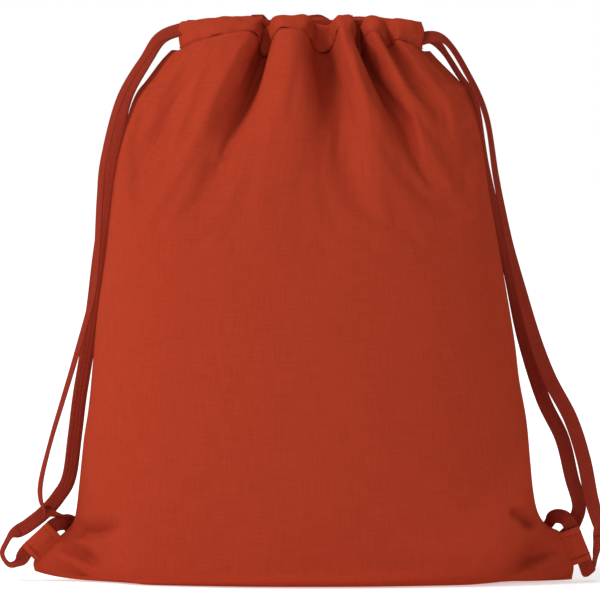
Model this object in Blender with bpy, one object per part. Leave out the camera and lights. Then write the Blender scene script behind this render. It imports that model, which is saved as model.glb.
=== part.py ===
"""Drawstring backpack, standing and full: two sewn fabric panels with a hem casing
along each top edge, a folded tab in each lower side seam, and two flat cords.

Metres, +Z up. The bag stands on its base at Z = 0 and its front faces -Y.
Each cord leaves and enters the casings on its own side, runs round the whole mouth
inside them, and its two strands come down that side to a knot behind the corner.
"""
import math

import bmesh
import bpy
from mathutils import Vector

# Driving sizes of the filled, standing bag
STANDING_HEIGHT = 0.353
BODY_HALF_WIDTH = 0.145
BODY_HALF_DEPTH = 0.075
BASE_HALF_DEPTH = 0.050
BASE_EDGE_RADIUS = 0.018
CASING_HEIGHT = 0.024
CASING_THICKNESS = 0.0098
CASING_WALL = 0.0010
MOUTH_HALF_DEPTH = 0.024
GATHER_WAVES = 3.5
GATHER_DEPTH = 0.0040
GATHER_START = 0.55
FABRIC = 0.0010
SEAM_PLY = 0.0008
SEAM_ALLOWANCE = 0.008
TAB_LENGTH = 0.022
TAB_REACH = 0.0125
TAB_THICKNESS = 0.0080
TAB_WALL = 0.0010
TAB_SEAM_GAP = 0.0008
CORD_RADIUS = 0.0024
CORD_STEP = 0.0130
CASING_CORD_STEP = 0.0050
SWING_GAP = 0.0005
SWING_END = 0.3
KNOT_RADIUS = 0.0085
GAP = 0.0003

PANEL_TOP = STANDING_HEIGHT - CASING_HEIGHT
EDGE = FABRIC + GAP + SEAM_PLY / 2
PANEL_ROWS = 26
PANEL_COLUMNS = 30
CASING_STATIONS = 30
CASING_REACH = 0.80

# Side seams from the lower corner up to the casing, as shares of the half width and
# of the panel height: the pinched ear with its tab first, then the bulging side.
LEFT_SEAM = [
    (-1.179, 0.020), (-1.186, 0.041), (-1.124, 0.065), (-1.063, 0.090), (-1.017, 0.110),
    (-1.000, 0.140), (-0.988, 0.188), (-0.968, 0.272), (-0.943, 0.348), (-0.908, 0.519),
    (-0.878, 0.614), (-0.838, 0.766), (-0.814, 0.827), (-0.753, 0.918), (-0.697, 0.954),
    (-0.614, 0.983), (-0.545, 1.000),
]
RIGHT_SEAM = [
    (1.131, 0.004), (1.140, 0.033), (1.112, 0.064), (1.084, 0.093), (1.020, 0.108),
    (0.983, 0.134), (0.964, 0.176), (0.951, 0.234), (0.934, 0.310), (0.903, 0.386),
    (0.882, 0.462), (0.830, 0.599), (0.779, 0.726), (0.766, 0.766), (0.752, 0.821),
    (0.706, 0.918), (0.641, 0.954), (0.552, 0.986), (0.455, 1.000),
]
# Bulge of the centre line above the base edge: height share, depth share
BULGE = [
    (0.055, 0.907), (0.13, 0.985), (0.30, 1.0), (0.46, 0.955), (0.62, 0.84), (0.76, 0.69),
    (0.88, 0.51), (1.0, MOUTH_HALF_DEPTH / BODY_HALF_DEPTH),
]
# Rows where the tabs are sewn, as shares of the side seam's length
LEFT_TAB_ROWS = (0.020, 0.087)
RIGHT_TAB_ROWS = (0.027, 0.086)

LEFT_LANE = PANEL_TOP + 0.0165
RIGHT_LANE = PANEL_TOP + 0.0075


def smooth_path(points, spacing):
    """Points every spacing or so along a smooth curve through the given ones."""
    route = [Vector(p) for p in points]
    route = [2 * route[0] - route[1]] + route + [2 * route[-1] - route[-2]]
    fine = []
    for a, b, c, d in zip(route, route[1:], route[2:], route[3:]):
        for step in range(16):
            t = step / 16
            fine.append(
                0.5 * (2 * b + (c - a) * t + (2 * a - 5 * b + 4 * c - d) * t ** 2
                       + (3 * b - a - 3 * c + d) * t ** 3)
            )
    fine.append(route[-2])
    total = length_of(fine)
    count = max(2, round(total / spacing))
    return [along(fine, i / count) for i in range(count + 1)]


def length_of(line):
    return sum((b - a).length for a, b in zip(line, line[1:]))


def along(line, share):
    """The point at a share of a line's length."""
    left = share * length_of(line)
    for a, b in zip(line, line[1:]):
        step = (b - a).length
        if left <= step and step > 0:
            return a.lerp(b, left / step)
        left -= step
    return line[-1].copy()


def smoothstep(low, high, value):
    t = min(1.0, max(0.0, (value - low) / (high - low)))
    return t * t * (3 - 2 * t)


def seam_line(shares):
    scaled = [(x * BODY_HALF_WIDTH, 0, z * PANEL_TOP) for x, z in shares]
    return smooth_path(scaled, 0.004)


def centre_line():
    """The panel's centre line: out along the base, round its edge and up the bulge."""
    line = [Vector((0, -BASE_HALF_DEPTH * i / 4, 0)) for i in range(5)]
    for i in range(1, 6):
        turn = math.radians(15 * i)
        line.append(Vector((0, -BASE_HALF_DEPTH - BASE_EDGE_RADIUS * math.sin(turn),
                            BASE_EDGE_RADIUS * (1 - math.cos(turn)))))
    wall = [(0, -BODY_HALF_DEPTH * depth, PANEL_TOP * height) for height, depth in BULGE]
    return line + smooth_path(wall, 0.006)


LEFT_SIDE = seam_line(LEFT_SEAM)
RIGHT_SIDE = seam_line(RIGHT_SEAM)
CENTRE = centre_line()
MOUTH_CENTRE = (LEFT_SIDE[-1].x + RIGHT_SIDE[-1].x) / 2


def panel_point(across, row):
    """Outer face of the front panel. across: -1 left seam to 1 right seam.
    row: 0 bottom seam to 1 casing."""
    seam = along(LEFT_SIDE if across < 0 else RIGHT_SIDE, row)
    centre = along(CENTRE, row)
    middle = MOUTH_CENTRE * smoothstep(0.2, 1.0, row)
    pinch = 1.75 - 1.0 * smoothstep(0.02, 0.30, row)
    swell = max(0.0, math.cos(math.pi / 2 * across)) ** pinch
    lift = smoothstep(0.45, 1.0, abs(across)) ** 1.3
    gather = GATHER_DEPTH * smoothstep(GATHER_START, 1.0, row) * smoothstep(1.0, 0.7, abs(across))
    wave = gather * math.cos(2 * math.pi * GATHER_WAVES * across)
    return Vector((
        middle + (seam.x - middle) * math.sin(math.pi / 2 * abs(across)),
        centre.y * swell - EDGE + wave,
        centre.z + (seam.z - centre.z) * lift,
    ))


def add_object(name, mesh, material):
    obj = bpy.data.objects.new(name, mesh)
    bpy.context.scene.collection.objects.link(obj)
    mesh.materials.append(material)
    return obj


def make_material(name, colour, roughness):
    material = bpy.data.materials.new(name)
    material.use_nodes = True
    shader = material.node_tree.nodes["Principled BSDF"]
    shader.inputs["Base Color"].default_value = (*colour, 1)
    shader.inputs["Roughness"].default_value = roughness
    shader.inputs["Metallic"].default_value = 0.0
    return material


def mesh_from(name, points, faces):
    mesh = bpy.data.meshes.new(name)
    mesh.from_pydata([tuple(p) for p in points], [], faces)
    work = bmesh.new()
    work.from_mesh(mesh)
    bmesh.ops.recalc_face_normals(work, faces=work.faces)
    work.to_mesh(mesh)
    work.free()
    mesh.shade_smooth()
    mesh.set_sharp_from_angle(angle=math.radians(50))
    return mesh


def panel(name, side, colour):
    """One body panel with its half of the base. side is 1 for the front, -1 for the back."""
    points = []
    for row in range(PANEL_ROWS + 1):
        for column in range(PANEL_COLUMNS + 1):
            p = panel_point(2 * column / PANEL_COLUMNS - 1, row / PANEL_ROWS)
            points.append((p.x, p.y * side, p.z))
    faces = []
    for row in range(PANEL_ROWS):
        for column in range(PANEL_COLUMNS):
            corner = row * (PANEL_COLUMNS + 1) + column
            ring = (corner, corner + 1, corner + PANEL_COLUMNS + 2, corner + PANEL_COLUMNS + 1)
            faces.append(ring if side > 0 else ring[::-1])
    mesh = bpy.data.meshes.new(name)
    mesh.from_pydata(points, [], faces)
    mesh.shade_smooth()
    obj = add_object(name, mesh, make_material(name, colour, 0.75))
    wall = obj.modifiers.new("cloth thickness", "SOLIDIFY")
    wall.thickness = FABRIC
    wall.offset = -1


def tunnel(name, path, ups, half_height, half_thickness, wall, colour, roughness=0.75):
    """A flat sleeve along path, open at both ends. ups gives its height direction."""
    def ring(centre, up, out, inset):
        height = half_height - inset
        thick = half_thickness - inset
        bevel = thick * 0.55
        outline = [
            (height, thick - bevel), (height - bevel, thick), (bevel - height, thick),
            (-height, thick - bevel), (-height, bevel - thick), (bevel - height, -thick),
            (height - bevel, -thick), (height, bevel - thick),
        ]
        return [centre + up * a + out * b for a, b in outline]

    points, faces = [], []
    for i, centre in enumerate(path):
        ahead = (path[min(i + 1, len(path) - 1)] - path[max(i - 1, 0)]).normalized()
        up = ups[i].normalized()
        out = ahead.cross(up).normalized()
        points += ring(centre, up, out, 0) + ring(centre, up, out, wall)
    for i in range(len(path) - 1):
        for layer in (0, 8):
            for k in range(8):
                a = 16 * i + layer + k
                b = 16 * i + layer + (k + 1) % 8
                faces.append((a, b, b + 16, a + 16))
    last = 16 * (len(path) - 1)
    for start in (0, last):
        for k in range(8):
            a, b = start + k, start + (k + 1) % 8
            faces.append((a, b, b + 8, a + 8))
    add_object(name, mesh_from(name, points, faces), make_material(name, colour, roughness))


def casing(name, side, colour):
    """The hem folded over the mouth's edge: a sleeve along the panel's gathered top."""
    path = []
    for i in range(CASING_STATIONS + 1):
        across = CASING_REACH * (2 * i / CASING_STATIONS - 1)
        top = panel_point(across, 1.0)
        path.append(Vector((top.x, side * top.y, PANEL_TOP + GAP + CASING_HEIGHT / 2)))
    up = Vector((0, 0, 1))
    tunnel(name, path, [up] * len(path), CASING_HEIGHT / 2 - GAP, CASING_THICKNESS / 2,
           CASING_WALL, colour)


def strip(name, line, inward, colour):
    """A seam allowance: a flat strip in the seam plane, standing inwards from the seam."""
    points, faces = [], []
    half = SEAM_PLY / 2
    for i, p in enumerate(line):
        way = inward[i].normalized() * SEAM_ALLOWANCE
        for y in (-half, half):
            points.append(p + Vector((0, y, 0)))
            points.append(p + way + Vector((0, y, 0)))
    for i in range(len(line) - 1):
        a = 4 * i
        for k, m in ((0, 1), (1, 3), (3, 2), (2, 0)):
            faces.append((a + k, a + m, a + m + 4, a + k + 4))
    last = 4 * (len(line) - 1)
    faces.append((0, 1, 3, 2))
    faces.append((last, last + 1, last + 3, last + 2))
    add_object(name, mesh_from(name, points, faces), make_material(name, colour, 0.8))


def side_strip(name, side_line, inward_x, colour):
    rows = [0.10 + 0.88 * i / 24 for i in range(25)]
    line = [along(side_line, row) + Vector((inward_x * GAP * 4, 0, 0)) for row in rows]
    strip(name, line, [Vector((inward_x, 0, -0.15))] * len(line), colour)


def bottom_strip(name, colour):
    left = LEFT_SIDE[0].x * 0.90
    right = RIGHT_SIDE[0].x * 0.90
    line = []
    for i in range(21):
        x = left + (right - left) * i / 20
        corner = LEFT_SIDE[0] if x < 0 else RIGHT_SIDE[0]
        lift = smoothstep(0.45, 1.0, math.asin(min(1.0, x / corner.x)) * 2 / math.pi) ** 1.3
        line.append(Vector((x, 0, corner.z * lift + FABRIC + GAP)))
    strip(name, line, [Vector((0, 0, 1))] * len(line), colour)


def tab_axis(side_line, rows, outward):
    """Middle of the tab's sleeve, the way up along the seam and the way out from it."""
    low, high = along(side_line, rows[0]), along(side_line, rows[1])
    run = (high - low).normalized()
    reach = Vector((run.z, 0, -run.x)) * (1 if outward > 0 else -1)
    return (low + high) / 2 + reach * (TAB_REACH / 2 + TAB_SEAM_GAP), run, reach


def tab(name, axis, colour):
    """A folded cloth loop sewn into the side seam, with a sleeve for the cord."""
    middle, run, reach = axis
    path = [middle + run * TAB_LENGTH * (i / 6 - 0.5) for i in range(7)]
    tunnel(name, path, [reach] * len(path), TAB_REACH / 2, TAB_THICKNESS / 2, TAB_WALL, colour)


def cord(name, points, colour, step=CORD_STEP, swings=False):
    """A stretch of cord as a round tube of the flat tape's own cross-section area.
    A stretch that swings on its ends narrows there, so that it can turn."""
    route = [Vector(points[0])] + smooth_path(points[1:-1], step) + [Vector(points[-1])]
    curve = bpy.data.curves.new(name, "CURVE")
    curve.dimensions = "3D"
    curve.bevel_depth = CORD_RADIUS
    curve.bevel_resolution = 2
    curve.use_fill_caps = True
    spline = curve.splines.new("POLY")
    spline.points.add(len(route) - 1)
    for point, place in zip(spline.points, route):
        point.co = (*place, 1)
    if swings:
        spline.points[0].radius = spline.points[-1].radius = SWING_END
    obj = bpy.data.objects.new(name, curve)
    bpy.context.scene.collection.objects.link(obj)
    curve.materials.append(make_material(name, colour, 0.85))


def knot(name, centre, colour):
    """The overhand knot that ties a cord's two ends together."""
    work = bmesh.new()
    bmesh.ops.create_icosphere(work, subdivisions=2, radius=KNOT_RADIUS)
    for vert in work.verts:
        vert.co.z *= 0.86
    mesh = bpy.data.meshes.new(name)
    work.to_mesh(mesh)
    work.free()
    mesh.shade_smooth()
    obj = add_object(name, mesh, make_material(name, colour, 0.85))
    obj.location = centre


def start(join, gap=GAP):
    """A stretch's straight beginning, just past the join."""
    place, way = join
    return [place + way * gap, place + way * STRAIGHT]


def finish(join):
    """A stretch's straight end, up to the join."""
    place, way = join
    return [place - way * STRAIGHT, place - way * SWING_GAP]


def casing_exit(hand, side, lane):
    """Where a cord comes out of a casing's end, and the way that it points."""
    end = panel_point(hand * CASING_REACH, 1.0)
    before = panel_point(hand * (CASING_REACH - 0.06), 1.0)
    way = Vector((end.x - before.x, side * (end.y - before.y), 0)).normalized()
    return Vector((end.x, side * end.y, lane)), way


def strand(top, route, bottom):
    """A free strand from the casing down to its join, clear at both to swing there."""
    return start(top, SWING_GAP) + route + finish(bottom)


def join_at(place, towards):
    return Vector(place), Vector(towards).normalized()


# Cord routes: each stretch is one smooth curve through points chosen by hand, between
# the joins where it leaves a casing, meets its next stretch or enters its knot
STRAIGHT = 0.006
LEFT_TAB = tab_axis(LEFT_SIDE, LEFT_TAB_ROWS, -1)
RIGHT_TAB = tab_axis(RIGHT_SIDE, RIGHT_TAB_ROWS, 1)
LEFT_FRONT_EXIT = casing_exit(-1, 1, LEFT_LANE)
LEFT_BACK_EXIT = casing_exit(-1, -1, LEFT_LANE)
RIGHT_FRONT_EXIT = casing_exit(1, 1, RIGHT_LANE)
RIGHT_BACK_EXIT = casing_exit(1, -1, RIGHT_LANE)
LEFT_FRONT_JOIN = join_at((-0.1465, 0.0190, 0.0345), (0.25, 0.55, -0.80))
LEFT_BACK_JOIN = join_at((-0.1805, 0.0035, 0.0318), (-0.85, -0.10, -0.50))
RIGHT_FRONT_JOIN = join_at((0.1812, 0.0060, 0.0290), (-0.05, 0.45, -0.90))
RIGHT_BACK_JOIN = join_at((0.1600, 0.0165, 0.0270), (-0.55, 0.55, -0.62))
LEFT_KNOT = Vector((-0.1330, 0.0400, 0.0085))
RIGHT_KNOT = Vector((0.1330, 0.0400, 0.0085))

LEFT_FRONT = [
    (-0.0920, -0.0065, 0.3400), (-0.1010, -0.0070, 0.3290),
    (-0.1173, -0.0080, 0.3017), (-0.1273, -0.0080, 0.2643), (-0.1300, -0.0080, 0.2393),
    (-0.1320, -0.0080, 0.2019), (-0.1350, -0.0080, 0.1769), (-0.1454, -0.0080, 0.1395),
    (-0.1529, -0.0080, 0.1145), (-0.1604, -0.0080, 0.0895), (-0.1666, -0.0080, 0.0646),
    (-0.1672, -0.0070, 0.0521), (-0.1638, -0.0040, 0.0440), (-0.1575, 0.0030, 0.0412),
    (-0.1510, 0.0110, 0.0400),
]
LEFT_FRONT_END = [(-0.1435, 0.0260, 0.0240), (-0.1405, 0.0320, 0.0165)]
LEFT_BACK = [
    (-0.0910, 0.0090, 0.3390), (-0.1005, 0.0120, 0.3240),
    (-0.1135, 0.0160, 0.3010), (-0.1225, 0.0190, 0.2643), (-0.1265, 0.0200, 0.2393),
    (-0.1315, 0.0200, 0.2019), (-0.1350, 0.0180, 0.1707), (-0.1395, 0.0150, 0.1395),
    (-0.1435, 0.0125, 0.1145), (-0.1465, 0.0100, 0.0895), (-0.1500, 0.0080, 0.0646),
    (-0.1570, 0.0065, 0.0521), (-0.1650, 0.0060, 0.0430),
]
LEFT_LOOP = [
    (-0.1890, 0.0008, 0.0240), (-0.1915, 0.0005, 0.0170), (-0.1870, 0.0000, 0.0105),
    (-0.1805, 0.0000, 0.0125),
]
LEFT_TAB_EXIT = [
    (-0.1500, 0.0080, 0.0350), (-0.1470, 0.0170, 0.0250), (-0.1430, 0.0260, 0.0150),
    (-0.1400, 0.0310, 0.0090),
]
RIGHT_FRONT = [
    (0.0830, -0.0060, 0.3385), (0.0995, -0.0050, 0.3150),
    (0.1105, -0.0045, 0.2892), (0.1165, -0.0040, 0.2518), (0.1240, -0.0040, 0.2143),
    (0.1317, -0.0040, 0.1831), (0.1404, -0.0040, 0.1519), (0.1498, -0.0040, 0.1270),
    (0.1629, -0.0040, 0.1020), (0.1710, -0.0040, 0.0771), (0.1760, -0.0030, 0.0521),
    (0.1800, 0.0000, 0.0390),
]
RIGHT_LOOP = [(0.1795, 0.0100, 0.0170), (0.1775, 0.0070, 0.0075), (0.1750, 0.0030, 0.0050)]
RIGHT_TAB_EXIT = [
    (0.1590, 0.0010, 0.0400), (0.1530, 0.0070, 0.0400), (0.1490, 0.0150, 0.0340),
    (0.1440, 0.0240, 0.0240), (0.1400, 0.0320, 0.0150),
]
RIGHT_BACK = [
    (0.0780, 0.0090, 0.3375), (0.0945, 0.0130, 0.3150),
    (0.1045, 0.0160, 0.2980), (0.1110, 0.0230, 0.2580), (0.1190, 0.0240, 0.2206),
    (0.1270, 0.0200, 0.1860), (0.1345, 0.0140, 0.1519), (0.1460, 0.0080, 0.1145),
    (0.1579, 0.0050, 0.0895), (0.1641, 0.0050, 0.0646), (0.1688, 0.0070, 0.0471),
    (0.1655, 0.0110, 0.0350),
]
RIGHT_BACK_END = [(0.1510, 0.0250, 0.0150), (0.1420, 0.0330, 0.0080)]
FRONT_TAIL = [
    (0.1235, 0.0400, 0.0060), (0.1150, 0.0460, 0.0035), (0.0980, 0.0620, 0.0027),
    (0.0760, 0.0750, 0.0027), (0.0520, 0.0820, 0.0027), (0.0200, 0.0850, 0.0027),
]
BACK_TAIL = [
    (0.1270, 0.0485, 0.0060), (0.1200, 0.0570, 0.0030), (0.1060, 0.0730, 0.0027),
    (0.0860, 0.0890, 0.0027), (0.0620, 0.0980, 0.0027), (0.0330, 0.1000, 0.0027),
]


def casing_run(front, back, hand, lane):
    """A cord's way from its front exit through both casings to its back exit."""
    def through(side):
        shares = [0.70 - 0.10 * i for i in range(15)]
        run = [panel_point(hand * share, 1.0) for share in shares]
        return [Vector((p.x, side * p.y, lane)) for p in run]

    far_front, far_back = casing_exit(-hand, 1, lane), casing_exit(-hand, -1, lane)
    beyond = far_front[0].x - hand * 0.0060
    turn = [far_front[0], Vector((beyond, -0.0050, lane)), Vector((beyond, 0.0050, lane)),
            far_back[0]]
    return ([front[0], front[0] - front[1] * STRAIGHT] + through(1) + turn
            + through(-1)[::-1] + [back[0] - back[1] * STRAIGHT, back[0]])


def tab_run(join, loop, axis, direction, after):
    """From the strand's join round the loop, through the tab's sleeve and to the knot."""
    middle, run, _ = axis
    sleeve = [middle + run * direction * TAB_LENGTH * share for share in (-0.55, -0.2, 0.2, 0.62)]
    return start(join) + loop + sleeve + after


def mirrored(points):
    return [(-x, y, z) for x, y, z in points]


def main():
    for old in list(bpy.data.objects):
        bpy.data.objects.remove(old, do_unlink=True)
    cloth = (0.40, 0.040, 0.017)
    inside = (0.30, 0.028, 0.014)
    tape = (0.30, 0.026, 0.012)

    panel("front_panel", 1, cloth)
    panel("back_panel", -1, cloth)
    casing("front_casing", 1, cloth)
    casing("back_casing", -1, cloth)
    side_strip("left_side_seam", LEFT_SIDE, 1, inside)
    side_strip("right_side_seam", RIGHT_SIDE, -1, inside)
    bottom_strip("bottom_seam", inside)
    tab("left_tab", LEFT_TAB, cloth)
    tab("right_tab", RIGHT_TAB, cloth)

    cord("left_casing_cord", casing_run(LEFT_FRONT_EXIT, LEFT_BACK_EXIT, -1, LEFT_LANE), tape,
         CASING_CORD_STEP)
    cord("left_front_strand", strand(LEFT_FRONT_EXIT, LEFT_FRONT, LEFT_FRONT_JOIN), tape,
         swings=True)
    cord("left_front_end", start(LEFT_FRONT_JOIN) + LEFT_FRONT_END, tape)
    cord("left_back_strand", strand(LEFT_BACK_EXIT, LEFT_BACK, LEFT_BACK_JOIN), tape,
         swings=True)
    cord("left_tab_cord", tab_run(LEFT_BACK_JOIN, LEFT_LOOP, LEFT_TAB, 1, LEFT_TAB_EXIT), tape)
    knot("left_knot", LEFT_KNOT, tape)
    cord("left_front_tail", mirrored(FRONT_TAIL), tape)
    cord("left_back_tail", mirrored(BACK_TAIL), tape)

    cord("right_casing_cord", casing_run(RIGHT_FRONT_EXIT, RIGHT_BACK_EXIT, 1, RIGHT_LANE),
         tape, CASING_CORD_STEP)
    cord("right_front_strand", strand(RIGHT_FRONT_EXIT, RIGHT_FRONT, RIGHT_FRONT_JOIN), tape,
         swings=True)
    cord("right_tab_cord", tab_run(RIGHT_FRONT_JOIN, RIGHT_LOOP, RIGHT_TAB, 1, RIGHT_TAB_EXIT),
         tape)
    cord("right_back_strand", strand(RIGHT_BACK_EXIT, RIGHT_BACK, RIGHT_BACK_JOIN), tape,
         swings=True)
    cord("right_back_end", start(RIGHT_BACK_JOIN) + RIGHT_BACK_END, tape)
    knot("right_knot", RIGHT_KNOT, tape)
    cord("right_front_tail", FRONT_TAIL, tape)
    cord("right_back_tail", BACK_TAIL, tape)


main()
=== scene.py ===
"""Looks of the drawstring backpack: gathered cloth, flat cords, knots, stitches and stage.

Metres, +Z up, front towards -Y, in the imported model's own frame.
"""
import math

import bmesh
import bpy
import numpy as np
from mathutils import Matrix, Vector, noise


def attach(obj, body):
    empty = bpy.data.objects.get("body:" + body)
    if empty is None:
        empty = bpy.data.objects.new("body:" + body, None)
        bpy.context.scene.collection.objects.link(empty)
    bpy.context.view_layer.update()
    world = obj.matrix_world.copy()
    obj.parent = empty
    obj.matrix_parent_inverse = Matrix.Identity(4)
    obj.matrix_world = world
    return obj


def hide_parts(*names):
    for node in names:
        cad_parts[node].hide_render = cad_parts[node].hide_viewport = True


bl_info = {
    "name": "Drawstring Backpack",
    "version": (1, 0, 0),
    "blender": (4, 5, 0),
    "location": "3D View > Sidebar > Backpack",
    "description": "Builds the cloth, cords and stitches of a standing drawstring backpack",
    "category": "Object",
}

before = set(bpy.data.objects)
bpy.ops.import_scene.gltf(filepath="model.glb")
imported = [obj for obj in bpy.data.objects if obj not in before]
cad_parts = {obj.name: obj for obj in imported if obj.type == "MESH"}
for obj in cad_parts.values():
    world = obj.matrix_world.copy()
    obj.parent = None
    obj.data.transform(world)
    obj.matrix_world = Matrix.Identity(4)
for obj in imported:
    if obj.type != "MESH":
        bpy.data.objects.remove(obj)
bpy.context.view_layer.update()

# The filled bag's driving sizes, as in the model it stands for
STANDING_HEIGHT = 0.353
BODY_HALF_WIDTH = 0.145
BODY_HALF_DEPTH = 0.075
BASE_HALF_DEPTH = 0.050
BASE_EDGE_RADIUS = 0.018
CASING_HEIGHT = 0.024
MOUTH_HALF_DEPTH = 0.024
PANEL_TOP = STANDING_HEIGHT - CASING_HEIGHT
TAB_REACH = 0.0125
TAB_SEAM_GAP = 0.0008
TAB_LENGTH = 0.022
STRAIGHT = 0.006

# Side seams from the lower corner to the casing: shares of half width and panel height
LEFT_SEAM = [
    (-1.179, 0.020), (-1.186, 0.041), (-1.124, 0.065), (-1.063, 0.090), (-1.017, 0.110),
    (-1.000, 0.140), (-0.988, 0.188), (-0.968, 0.272), (-0.943, 0.348), (-0.908, 0.519),
    (-0.878, 0.614), (-0.838, 0.766), (-0.814, 0.827), (-0.753, 0.918), (-0.697, 0.954),
    (-0.632, 0.993), (-0.590, 1.012),
]
RIGHT_SEAM = [
    (1.131, 0.004), (1.140, 0.033), (1.112, 0.064), (1.084, 0.093), (1.020, 0.108),
    (0.983, 0.134), (0.964, 0.176), (0.951, 0.234), (0.934, 0.310), (0.903, 0.386),
    (0.882, 0.462), (0.830, 0.599), (0.779, 0.726), (0.766, 0.766), (0.752, 0.821),
    (0.706, 0.918), (0.641, 0.954), (0.562, 0.990), (0.520, 1.010),
]
# Bulge of the centre line above the base edge: height share, depth share
BULGE = [
    (0.055, 0.907), (0.13, 0.985), (0.30, 1.0), (0.46, 0.955), (0.62, 0.84), (0.76, 0.69),
    (0.88, 0.51), (1.0, MOUTH_HALF_DEPTH / BODY_HALF_DEPTH),
]
LEFT_TAB_ROWS = (0.020, 0.087)
RIGHT_TAB_ROWS = (0.027, 0.086)

# The front hem's folds seen from above, from the left side seam to the right one
MOUTH_PLAN = [
    (-0.0856, 0.0000), (-0.0800, -0.0090), (-0.0700, -0.0190), (-0.0560, -0.0270),
    (-0.0440, -0.0310), (-0.0360, -0.0310), (-0.0310, -0.0240), (-0.0305, -0.0130),
    (-0.0270, -0.0070), (-0.0235, -0.0130), (-0.0225, -0.0240), (-0.0175, -0.0335),
    (-0.0100, -0.0360), (-0.0030, -0.0335), (0.0005, -0.0250), (0.0035, -0.0150),
    (0.0090, -0.0110), (0.0140, -0.0150), (0.0165, -0.0250), (0.0185, -0.0345),
    (0.0220, -0.0370), (0.0258, -0.0330), (0.0275, -0.0230), (0.0285, -0.0120),
    (0.0310, -0.0075), (0.0338, -0.0130), (0.0350, -0.0240), (0.0385, -0.0310),
    (0.0425, -0.0300), (0.0450, -0.0230), (0.0475, -0.0165), (0.0510, -0.0180),
    (0.0550, -0.0220), (0.0620, -0.0185), (0.0700, -0.0095), (0.0754, 0.0000),
]

# Creases pressed into the corners by the tabs: route across the front (x, z), depth
# inwards, width above the route, and the share of that width that it has below it
CREASES = [
    ([(-0.1500, 0.0310), (-0.1440, 0.0296), (-0.1350, 0.0300), (-0.1230, 0.0335),
      (-0.1080, 0.0400)], 0.0120, 0.0075, 0.26),
    ([(-0.1600, 0.0265), (-0.1480, 0.0200), (-0.1330, 0.0130), (-0.1180, 0.0085)],
     0.0080, 0.0050, 0.45),
    ([(-0.1640, 0.0170), (-0.1560, 0.0105), (-0.1450, 0.0055), (-0.1280, 0.0030)],
     0.0060, 0.0030, 0.50),
    ([(0.1240, 0.0490), (0.1310, 0.0425), (0.1380, 0.0360), (0.1440, 0.0325)],
     0.0100, 0.0050, 0.40),
    ([(0.1590, 0.0300), (0.1480, 0.0245), (0.1380, 0.0180), (0.1180, 0.0080)],
     0.0100, 0.0075, 0.80),
]

# How far the folds lean across the panel just under the hem, as a share of its width
FOLD_DRIFT = 0.055
ROWS = 110
COLUMNS = 112
# Columns left free of the casing and of the bottom seam allowance at each side
CASING_TRIM = 8
BOTTOM_TRIM = 12
# From a cord's middle to the ply of the casing beside it
CORD_ROOM = 0.0019
FLOOR_GAP = 0.0002
TAB_CLOTH = 0.0008
TAB_HEM = 0.333
CORD_SPACING = 0.0016
# The settled panels, by side, for the pieces that are sewn to them
GRIDS = {}


class ClothSettings(bpy.types.PropertyGroup):
    cut_width: bpy.props.FloatProperty(
        name="Cut Width", description="Width of each panel, sewn, before it is gathered",
        default=0.338, unit="LENGTH")
    cut_length: bpy.props.FloatProperty(
        name="Cut Length", description="Length of each panel from bottom seam to hem stitching",
        default=0.402, unit="LENGTH")
    thickness: bpy.props.FloatProperty(
        name="Thickness", description="Thickness of the cloth", default=0.0006, unit="LENGTH")
    seam_allowance: bpy.props.FloatProperty(
        name="Seam Allowance", description="Cloth inside each seam", default=0.008,
        unit="LENGTH")
    colour: bpy.props.FloatVectorProperty(
        name="Colour", description="Colour of the cloth", default=(0.385, 0.042, 0.018),
        subtype="COLOR", size=3, min=0, max=1)
    weave_pitch: bpy.props.FloatProperty(
        name="Weave Pitch", description="Distance between two threads", default=0.00055,
        unit="LENGTH", precision=5)


class CordSettings(bpy.types.PropertyGroup):
    width: bpy.props.FloatProperty(
        name="Width", description="Width of the flat cord", default=0.009, unit="LENGTH")
    thickness: bpy.props.FloatProperty(
        name="Thickness", description="Thickness of the flat cord", default=0.0018,
        unit="LENGTH")
    ribs: bpy.props.IntProperty(
        name="Ribs", description="Lengthwise ribs on each face", default=4, min=1)
    colour: bpy.props.FloatVectorProperty(
        name="Colour", description="Colour of the cords", default=(0.250, 0.027, 0.015),
        subtype="COLOR", size=3, min=0, max=1)
    knot_radius: bpy.props.FloatProperty(
        name="Knot Radius", description="Radius of the tied knots", default=0.0085,
        unit="LENGTH")


class StitchSettings(bpy.types.PropertyGroup):
    pitch: bpy.props.FloatProperty(
        name="Pitch", description="Distance between two stitches", default=0.0030,
        unit="LENGTH", precision=5)
    length: bpy.props.FloatProperty(
        name="Length", description="Length of one stitch", default=0.0023, unit="LENGTH",
        precision=5)
    thread: bpy.props.FloatProperty(
        name="Thread", description="Thickness of the sewing thread", default=0.00045,
        unit="LENGTH", precision=5)
    colour: bpy.props.FloatVectorProperty(
        name="Colour", description="Colour of the thread", default=(0.300, 0.030, 0.014),
        subtype="COLOR", size=3, min=0, max=1)


# ---------------------------------------------------------------- lines and shapes


def run_of(line):
    """The length along a line up to each of its points."""
    return np.concatenate([[0], np.cumsum(np.linalg.norm(np.diff(line, axis=0), axis=1))])


def evenly(line, count):
    """count + 1 points at equal distances along a line."""
    run = run_of(line)
    places = np.linspace(0, run[-1], count + 1)
    return np.column_stack([np.interp(places, run, line[:, k]) for k in range(line.shape[1])])


def length_of(line):
    return float(np.linalg.norm(np.diff(line, axis=0), axis=1).sum())


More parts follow.
